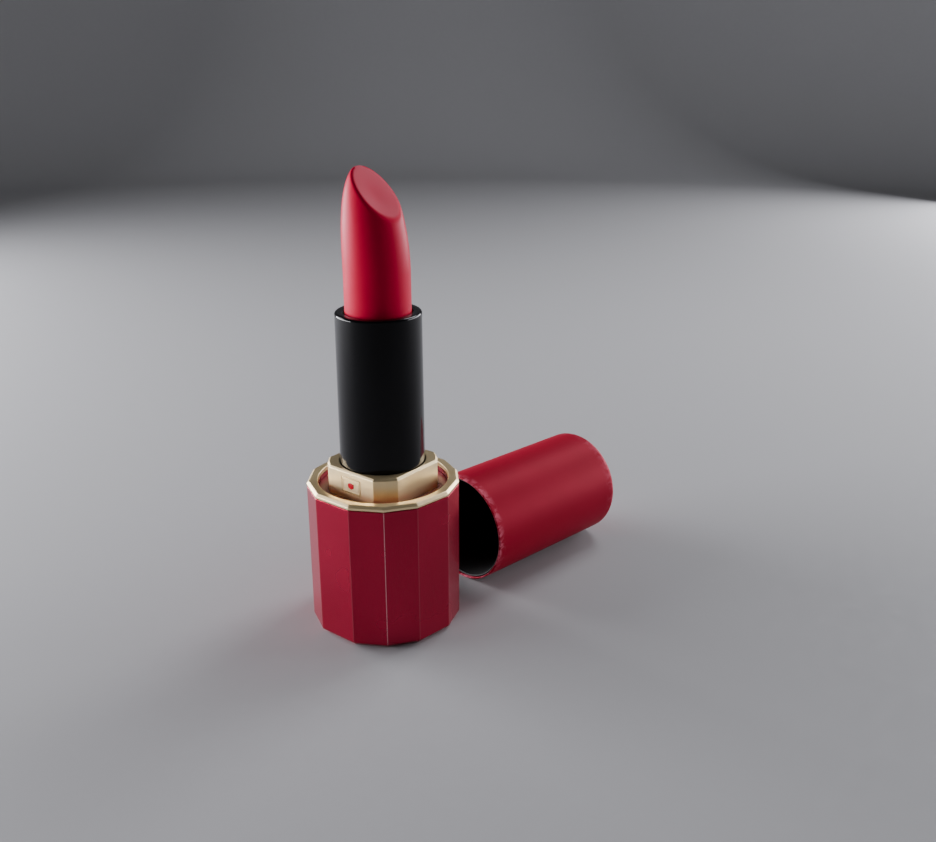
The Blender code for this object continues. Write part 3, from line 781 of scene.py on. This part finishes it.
class LIPSTICK_OT_gold_rings(bpy.types.Operator):
    """Make the gold trim on the cup's edge and the four-sided gold collar"""

    bl_idname = "lipstick.gold_rings"
    bl_label = "Make Gold Rings"

    def execute(self, context):
        gold = FINISHES["satin_pale_gold_plating"]
        edge = sizes().gold_edge
        bottom, top = cad_bottom("rim_trim"), cad_top("rim_trim")
        self.add_ring("gold_trim", base_corners(), sizes().panel_edge, [
            (-0.6, bottom, 0.0), (0.0, bottom, edge), (0.0, top - TRIM_BEVEL, edge),
            (-TRIM_BEVEL, top, edge), (-1.0, top, 0.0),
        ], BASE_BORE, gold, "rim_trim")
        bottom, top = cad_bottom("collar"), cad_top("collar")
        self.add_ring("gold_collar", collar_corners(), edge, [
            (-0.2, bottom, 0.0), (0.0, bottom, edge), (0.0, top - COLLAR_BEVEL, edge),
            (-COLLAR_BEVEL, top, edge), (-0.45, top, 0.0),
        ], COLLAR_BORE, gold, "collar")
        return {"FINISHED"}

    def add_ring(self, name, corners, rounding, side, bore, gold, node):
        levels = softened(side)
        rings = [prism_ring(corners, across, rounding, height) for across, height in levels]
        bottom, top = levels[0][1], levels[-1][1]
        lip = 0.08
        for radius, height in (
            (bore + lip, top), (bore, top - lip), (bore, bottom + lip), (bore + lip, bottom),
        ):
            rings.append(round_ring(rings[0], radius, height))
        shape = lofted(rings, through=True)
        if node == "collar":
            low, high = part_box("emblem_plate")
            size = (high - low) / MM
            middle = (low + high) / 2 / MM
            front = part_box("collar")[0].y / MM
            cut_block(
                shape, (0.0, front, middle.z),
                (size.x + 2 * EMBLEM_GAP, 2 * EMBLEM_DEPTH, size.z + 2 * EMBLEM_GAP),
            )
        add_piece(name, shape, gold, "base", [node], smooth_below=30.0)


class LIPSTICK_OT_emblem(bpy.types.Operator):
    """Make the plain framed plate on the collar's front and its enamel dot"""

    bl_idname = "lipstick.emblem"
    bl_label = "Make Emblem"

    def execute(self, context):
        low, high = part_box("emblem_plate")
        middle = (low + high) / 2 / MM
        half_width = (high.x - low.x) / MM / 2
        half_height = (high.z - low.z) / MM / 2
        front, back = low.y / MM, high.y / MM
        groove = 0.05
        # Rings from the plate's back round its edge to the dot's seat; a fine groove makes
        # the frame.
        levels = [
            (0.0, back), (0.0, front + 0.08), (0.08, front), (0.3, front),
            (0.34, front + groove), (0.42, front + groove), (0.46, front),
        ]
        rings = []
        for inset, depth in levels:
            corners = [
                (x * (half_width - inset), z * (half_height - inset), max(0.05, 0.3 - inset))
                for x, z in ((-1, -1), (1, -1), (1, 1), (-1, 1))
            ]
            rings.append([
                (x, depth, middle.z + z) for x, z in softened(corners, steps=6)
            ])
        seat = EMBLEM_DOT_RADIUS + EMBLEM_GAP
        seat_depth = front + 0.18
        for radius, depth in ((seat + 0.04, front), (seat, front + 0.04), (seat, seat_depth)):
            rings.append([
                (radius * math.cos(turn), depth, middle.z + radius * math.sin(turn))
                for turn in [math.atan2(z - middle.z, x) for x, _, z in rings[0]]
            ])
        add_piece(
            "emblem_frame", lofted(rings), FINISHES["satin_pale_gold_plating"],
            "base", ["emblem_plate"], smooth_below=30.0,
        )
        dot_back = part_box("emblem_dot")[1].y / MM
        dome, set_back = 0.1, 0.04
        profile = [(0.0, 0.0), (EMBLEM_DOT_RADIUS, 0.0)]
        face = dot_back - front
        for step in range(7):
            turn = math.radians(90.0 * step / 6)
            height = face + dome * math.sin(turn) - set_back
            profile.append((EMBLEM_DOT_RADIUS * math.cos(turn), height))
        profile[-1] = (0.0, profile[-1][1])
        laid = Matrix.Translation(Vector((0.0, dot_back, middle.z)) * MM)
        add_piece(
            "enamel_dot", turned(profile, FINISHES["cured_red_enamel"], 0.3),
            FINISHES["cured_red_enamel"], "base", ["emblem_dot"],
            place=laid @ Matrix.Rotation(math.pi / 2, 4, "X"),
        )
        return {"FINISHED"}


class LIPSTICK_OT_sleeve(bpy.types.Operator):
    """Make the gloss black sleeve that is turned to raise the bullet"""

    bl_idname = "lipstick.sleeve"
    bl_label = "Make Sleeve"

    def execute(self, context):
        bottom, top = cad_bottom("sleeve_shell"), cad_top("sleeve_shell")
        edge = sizes().sleeve_edge
        bead_top = bottom + SLEEVE_BEAD_HEIGHT
        bead = SLEEVE_FOOT_RADIUS + SLEEVE_BEAD_RISE
        underside = top - SLEEVE_LIP_HEIGHT
        profile = softened([
            (SLEEVE_BORE, bottom, 0.05), (bead - SLEEVE_BEAD_RISE / 2, bottom, 0.1),
            (bead, bottom + SLEEVE_BEAD_RISE, 0.1), (bead, bead_top, 0.1),
            (SLEEVE_FOOT_RADIUS, bead_top, 0.05), (SLEEVE_TOP_RADIUS, top, edge),
            (SLEEVE_LIP_RADIUS, top, 0.3), (SLEEVE_LIP_RADIUS, underside, 0.05),
            (SLEEVE_BORE, underside, 0.05),
        ], steps=6)
        black = FINISHES["gloss_moulded_black_abs"]
        add_piece(
            "black_sleeve", turned(profile, black), black, "sleeve",
            ["sleeve_shell"], smooth_below=30.0,
        )
        return {"FINISHED"}


def bullet_gap(points, bottom, edge, dish):
    """How far points in millimetres lie outside the bullet; negative is inside."""
    x, y, z = points
    share = np.clip((z - BULLET_SHOULDER) / (BULLET_CROWN - BULLET_SHOULDER), 0.0, 1.0)
    straight = np.clip((z - bottom) / (BULLET_SHOULDER - bottom), 0.0, 1.0)
    radius = BULLET_RADIUS - BULLET_TAPER * straight
    radius = radius * (1.0 - share ** BULLET_FULLNESS) ** (1.0 / BULLET_FULLNESS)
    body = np.hypot(x + BULLET_CROWN_OFFSET * share ** 1.5, y) - radius
    slope = math.radians(BULLET_CUT_SLOPE)
    face = x * math.sin(slope) + (z - BULLET_CUT_HEIGHT) * math.cos(slope)
    # A shallow hollow low on the slanted face.
    down = x * math.cos(slope) - (z - BULLET_CUT_HEIGHT) * math.sin(slope)
    along = (down - HOLLOW_BELOW) / HOLLOW_LENGTH
    beside = (y - HOLLOW_ASIDE) / HOLLOW_WIDTH
    face = face + dish * np.exp(-along ** 2 - beside ** 2)
    meeting = np.clip(edge - np.abs(body - face), 0.0, None) / edge
    return np.maximum(body, face) + meeting ** 2 * edge / 4


class LIPSTICK_OT_bullet(bpy.types.Operator):
    """Make the wax bullet with its slanted, softly rounded face"""

    bl_idname = "lipstick.bullet"
    bl_label = "Make Bullet"

    def execute(self, context):
        steps = sizes().round_steps
        turns = np.arange(steps) * math.tau / steps
        bottom = cad_bottom("bullet")
        edge, dish = sizes().bullet_edge, sizes().bullet_dish
        foot = 0.25
        rings = []
        for radius, height in (
            (0.4, bottom), (BULLET_RADIUS - foot, bottom), (BULLET_RADIUS, bottom + foot),
        ):
            rings.append([
                (radius * math.cos(turn), radius * math.sin(turn), height) for turn in turns
            ])
        # From here up every point is found on a ray from a point on the axis. The rays lean
        # over from level to the middle of the slanted face.
        low, upper_rings, longest_ray, halvings = 67.0, 130, 20.0, 40
        centre = np.array([-0.6, 0.0, 73.0])
        towards = np.array([0.8, 0.0, 81.4]) - centre
        pole = towards / np.linalg.norm(towards)
        first = np.stack([
            BULLET_RADIUS * np.cos(turns), BULLET_RADIUS * np.sin(turns), np.full(steps, low),
        ], axis=1) - centre
        first /= np.linalg.norm(first, axis=1)[:, None]
        opening = np.arccos(first @ pole)[:, None]
        for level in range(upper_rings):
            share = level / upper_rings
            rays = (first * np.sin((1 - share) * opening) + pole * np.sin(share * opening))
            rays /= np.sin(opening)
            near, far = np.zeros(steps), np.full(steps, longest_ray)
            for _ in range(halvings):
                middle = (near + far) / 2
                outside = bullet_gap(
                    (centre + rays * middle[:, None]).T, bottom, edge, dish
                ) > 0.0
                far = np.where(outside, middle, far)
                near = np.where(outside, near, middle)
            found = centre + rays * near[:, None]
            rings.append([tuple(point) for point in found])
        wax = FINISHES["moulded_lip_wax"]
        add_piece(
            "wax_bullet", lofted(rings), wax, "carrier", ["bullet"],
            smooth_below=50.0,
        )
        return {"FINISHED"}


class LIPSTICK_OT_cap(bpy.types.Operator):
    """Make the satin red cap shell and the black liner inside it"""

    bl_idname = "lipstick.cap"
    bl_label = "Make Cap"

    def execute(self, context):
        place = Matrix.Translation(Vector(CAP_MOUTH) * MM) @ Euler(
            (0.0, math.pi / 2, math.radians(CAP_HEADING))
        ).to_matrix().to_4x4()
        edge = sizes().cap_edge
        inner = CAP_RADIUS - CAP_WALL
        end = CAP_LENGTH - CAP_END_WALL
        shell = softened([
            (inner, 0.0, 0.1), (CAP_RADIUS, 0.0, 0.16), (CAP_RADIUS, CAP_LENGTH, edge),
            (0.0, CAP_LENGTH, 0.0), (0.0, end, 0.0), (inner, end, edge - CAP_WALL),
        ], steps=10)
        red = FINISHES["satin_red_lacquer_on_aluminium"]
        add_piece(
            "red_cap", turned(shell, red), red, "cap", ["cap_shell"],
            smooth_below=30.0, place=place,
        )
        outer = inner - CAP_LINER_GAP
        bore = outer - CAP_LINER_WALL
        roof = end - CAP_LINER_SEAT
        liner = softened([
            (bore, CAP_LINER_SET_BACK, 0.12), (outer, CAP_LINER_SET_BACK, 0.1),
            (outer, roof, 1.4), (0.0, roof, 0.0), (0.0, roof - CAP_LINER_WALL, 0.0),
            (bore, roof - CAP_LINER_WALL, 1.1),
        ], steps=6)
        black = FINISHES["spark_eroded_black_pp"]
        add_piece(
            "black_liner", turned(liner, black), black, "cap", ["cap_liner"],
            smooth_below=30.0, place=place,
        )
        return {"FINISHED"}


KEPT_NODES = {
    "bottom_disc": "spark_eroded_black_pp",
    "base_weight": "turned_mild_steel",
    "base_liner": "natural_moulded_acetal",
    "friction_ring": "moulded_silicone_rubber",
    "top_plate": "baked_red_lacquer_on_steel_painted_shade",
    "inner_tube": "natural_moulded_acetal",
    "spiral_cam": "natural_moulded_acetal",
    "bullet_cup": "satin_pale_gold_plating",
}


class LIPSTICK_OT_inner_parts(bpy.types.Operator):
    """Give the plate, the lift and the other inner parts their finishes"""

    bl_idname = "lipstick.inner_parts"
    bl_label = "Finish Inner Parts"

    def execute(self, context):
        for name, finish in KEPT_NODES.items():
            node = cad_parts[name]
            node.data.materials.clear()
            node.data.materials.append(FINISHES[finish])
        return {"FINISHED"}


def aimed(place):
    """A matrix that stands a light at place, in millimetres, and points it at the case."""
    towards = Vector(LIGHT_AIM) - Vector(place)
    turn = towards.to_track_quat("-Z", "Y").to_matrix().to_4x4()
    return Matrix.Translation(Vector(place) * MM) @ turn


LIGHT_COLOUR = "fafaff"
WORLD_STRENGTH = 0.06
# Soft boxes: name, heading from -Y towards +X, distance, height, width, tall, watts.
SOFT_BOXES = (
    ("left_box", -64.0, 420.0, 77.0, 500.0, 150.0, 5.9),
    ("left_kicker", -77.0, 250.0, 175.0, 110.0, 60.0, 0.16),
    ("right_box", 156.0, 560.0, 122.0, 640.0, 230.0, 4.6),
    ("back_box", 174.0, 280.0, 310.0, 150.0, 150.0, 0.7),
)


class LIPSTICK_OT_stage(bpy.types.Operator):
    """Make the pale floor, the soft studio light and the camera"""

    bl_idname = "lipstick.stage"
    bl_label = "Make Stage"

    def execute(self, context):
        scene = context.scene
        self.add_floor(scene)
        for name, heading, distance, height, width, tall, watts in SOFT_BOXES:
            light = bpy.data.lights.new(name, "AREA")
            light.shape = "RECTANGLE"
            light.size = width * MM
            light.size_y = tall * MM
            light.energy = watts
            light.color = linear(LIGHT_COLOUR)[:3]
            box = bpy.data.objects.new(name, light)
            turn = math.radians(heading)
            place = (distance * math.sin(turn), -distance * math.cos(turn), height)
            box.matrix_world = aimed(place)
            box.visible_camera = False
            scene.collection.objects.link(box)
        world = bpy.data.worlds.new("studio")
        scene.world = world
        world.use_nodes = True
        sky = world.node_tree.nodes["Background"]
        sky.inputs["Color"].default_value = linear("eef0f4")
        sky.inputs["Strength"].default_value = WORLD_STRENGTH
        self.add_camera(scene)
        return {"FINISHED"}

    def add_floor(self, scene):
        # A round floor that curves up into a low wall, so no edge shows from any side.
        flat, curve, wall = 700.0, 250.0, 500.0
        profile = [(1.0, 0.0), (flat, 0.0)]
        for step in range(1, 13):
            turn = math.radians(90.0 * step / 12)
            profile.append((flat + curve * math.sin(turn), curve - curve * math.cos(turn)))
        profile.append((flat + curve, wall))
        steps = 96
        shape = lofted([
            [
                (radius * math.cos(math.tau * step / steps),
                 radius * math.sin(math.tau * step / steps), height)
                for step in range(steps)
            ]
            for radius, height in profile
        ])
        shape.faces.ensure_lookup_table()
        bmesh.ops.delete(shape, geom=[shape.faces[-1]], context="FACES_ONLY")
        for face in shape.faces:
            if face.normal.z < 0.0 or face.calc_center_median().dot(face.normal) > 0.0:
                face.normal_flip()
        mesh = bpy.data.meshes.new("floor")
        shape.to_mesh(mesh)
        shape.free()
        mesh.shade_smooth()
        # Matt painted board, seamless and pale.
        make_plain_finish("matt_painted_board", "9c9c9e", "a2a2a4", 0.0, 0.85, 3.0, 0.01)
        mesh.materials.append(FINISHES["matt_painted_board"])
        floor = bpy.data.objects.new("floor", mesh)
        scene.collection.objects.link(floor)

    def add_camera(self, scene):
        heading, tilt = math.radians(VIEW_HEADING), math.radians(VIEW_TILT)
        across = Vector((math.cos(heading), math.sin(heading), 0.0))
        ahead = Vector((-math.sin(heading), math.cos(heading), 0.0))
        place = across * VIEW_ACROSS - ahead * VIEW_BACK
        place.z = VIEW_HEIGHT
        lens = bpy.data.cameras.new("camera")
        lens.sensor_width = SENSOR_WIDTH
        lens.lens = LENS
        lens.clip_start = 0.01
        viewer = bpy.data.objects.new("camera", lens)
        viewer.matrix_world = (
            Matrix.Translation(place * MM)
            @ Matrix.Rotation(heading, 4, "Z")
            @ Matrix.Rotation(math.pi / 2 - tilt, 4, "X")
        )
        scene.collection.objects.link(viewer)
        scene.camera = viewer


class LIPSTICK_PT_case(bpy.types.Panel):
    """Sizes, colours and one button for each piece"""

    bl_idname = "LIPSTICK_PT_case"
    bl_label = "Swivel Lipstick Case"
    bl_space_type = "VIEW_3D"
    bl_region_type = "UI"
    bl_category = "Lipstick"

    def draw(self, context):
        for group in (context.scene.lipstick_sizes, context.scene.lipstick_colours):
            column = self.layout.column(align=True)
            for name in group.__annotations__:
                column.prop(group, name)
        column = self.layout.column(align=True)
        for operator in OPERATORS:
            column.operator(operator.bl_idname)


OPERATORS = (
    LIPSTICK_OT_finishes,
    LIPSTICK_OT_base_cup,
    LIPSTICK_OT_gold_rings,
    LIPSTICK_OT_emblem,
    LIPSTICK_OT_sleeve,
    LIPSTICK_OT_bullet,
    LIPSTICK_OT_cap,
    LIPSTICK_OT_inner_parts,
    LIPSTICK_OT_stage,
)
CLASSES = (LipstickSizes, LipstickColours, *OPERATORS, LIPSTICK_PT_case)


def register():
    for each in CLASSES:
        bpy.utils.register_class(each)
    bpy.types.Scene.lipstick_sizes = PointerProperty(type=LipstickSizes)
    bpy.types.Scene.lipstick_colours = PointerProperty(type=LipstickColours)


def unregister():
    del bpy.types.Scene.lipstick_sizes
    del bpy.types.Scene.lipstick_colours
    for each in reversed(CLASSES):
        bpy.utils.unregister_class(each)


def main():
    register()
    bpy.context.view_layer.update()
    for operator in OPERATORS:
        group, name = operator.bl_idname.split(".")
        getattr(getattr(bpy.ops, group), name)()


if __name__ == "__main__":
    main()
